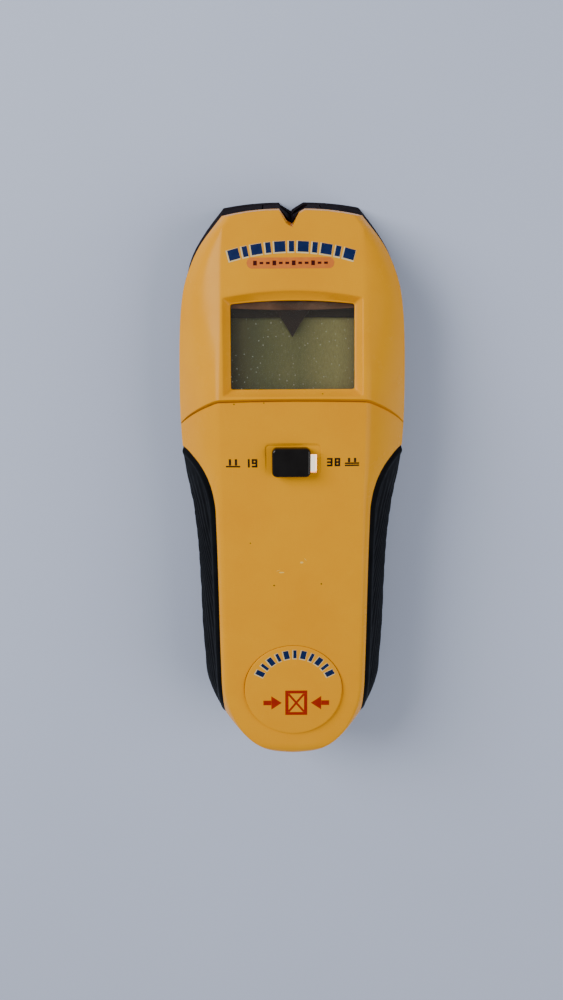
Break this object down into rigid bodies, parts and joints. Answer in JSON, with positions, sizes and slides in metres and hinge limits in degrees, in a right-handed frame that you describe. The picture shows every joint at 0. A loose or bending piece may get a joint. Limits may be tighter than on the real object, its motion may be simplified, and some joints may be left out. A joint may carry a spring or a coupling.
{
  "type": "stud finder",
  "caption": "Handheld wall stud finder: yellow two-part cover on a black flat-backed base, sloping display, sliding mode switch, rubber side grips, notched nose and battery door.",
  "frame": {"origin": "centre of the bounding box at the flat back that slides on the wall (Z = 0)", "axes": "+Z out of the display face, +Y along the case towards the notched nose, +X to the right seen from above with the nose up"},
  "size_m": [0.0664, 0.168, 0.0349],
  "materials": {
    "yellow_plastic": "glossy moulded plastic, finely scuffed",
    "black_plastic": "satin moulded plastic",
    "grip_rubber": "matt moulded rubber with fine ridges",
    "knob_black": "polished plastic",
    "slot_white": "satin white plastic",
    "window_clear": "clear polished window",
    "display_film": "olive grey display glass",
    "pointer_ink": "dark printed film",
    "frame_black": "matt moulded plastic",
    "ribbon_amber": "amber polyimide film",
    "board_green": "solder mask over glass cloth",
    "copper": "etched copper",
    "chip_epoxy": "matt epoxy",
    "buzzer_black": "matt plastic",
    "led_red": "clear red resin",
    "lens_dark_red": "dark red translucent plastic",
    "switch_steel": "folded tinned steel",
    "plunger_red": "satin plastic",
    "battery_jacket": "printed steel jacket, plain",
    "terminal_nickel": "nickel-plated steel",
    "snap_black": "soft vinyl",
    "lead_red": "vinyl insulation",
    "lead_black": "vinyl insulation",
    "screw_zinc": "bright zinc plate"
  },
  "bodies": {
    "case": {"head_cover": "yellow_plastic", "handle_cover": "yellow_plastic", "badge_disc": "yellow_plastic", "base_shell": "black_plastic", "left_grip": "grip_rubber", "right_grip": "grip_rubber", "display_window": "window_clear", "centre_pointer": "pointer_ink", "display_panel": "display_film", "display_frame": "frame_black", "display_ribbon": "ribbon_amber", "main_board": "board_green", "left_sensor_plate": "copper", "centre_sensor_plate": "copper", "right_sensor_plate": "copper", "microcontroller": "chip_epoxy", "sense_amplifier": "chip_epoxy", "piezo_buzzer": "buzzer_black", "spotlight_led": "led_red", "spotlight_lens": "lens_dark_red", "switch_housing": "switch_steel", "slot_plate": "slot_white", "tact_switch": "switch_steel", "battery_case": "battery_jacket", "positive_terminal": "terminal_nickel", "negative_terminal": "terminal_nickel", "battery_snap": "snap_black", "red_lead": "lead_red", "black_lead": "lead_black", "case_screw_1": "screw_zinc", "case_screw_2": "screw_zinc", "case_screw_3": "screw_zinc", "case_screw_4": "screw_zinc"},
    "mode_slider": {"mode_knob": "knob_black", "switch_lever": "slot_white"},
    "power_key": {"power_button": "grip_rubber", "button_plunger": "plunger_red"},
    "battery_door": {"battery_door": "black_plastic"}
  },
  "joints": [
    {"name": "mode_slide", "type": "slide", "parent": "case", "child": "mode_slider", "axis": [1, 0, 0], "range_m": [0, 0.002]},
    {"name": "power_press", "type": "slide", "parent": "case", "child": "power_key", "axis": [1, 0, 0], "range_m": [0, 0.0008], "stiffness_N_per_m": 700},
    {"name": "door_hinge", "type": "hinge", "parent": "case", "child": "battery_door", "pos_m": [0, -0.072, 0.0016], "axis": [-1, 0, 0], "range_deg": [0, 90]}
  ]
}
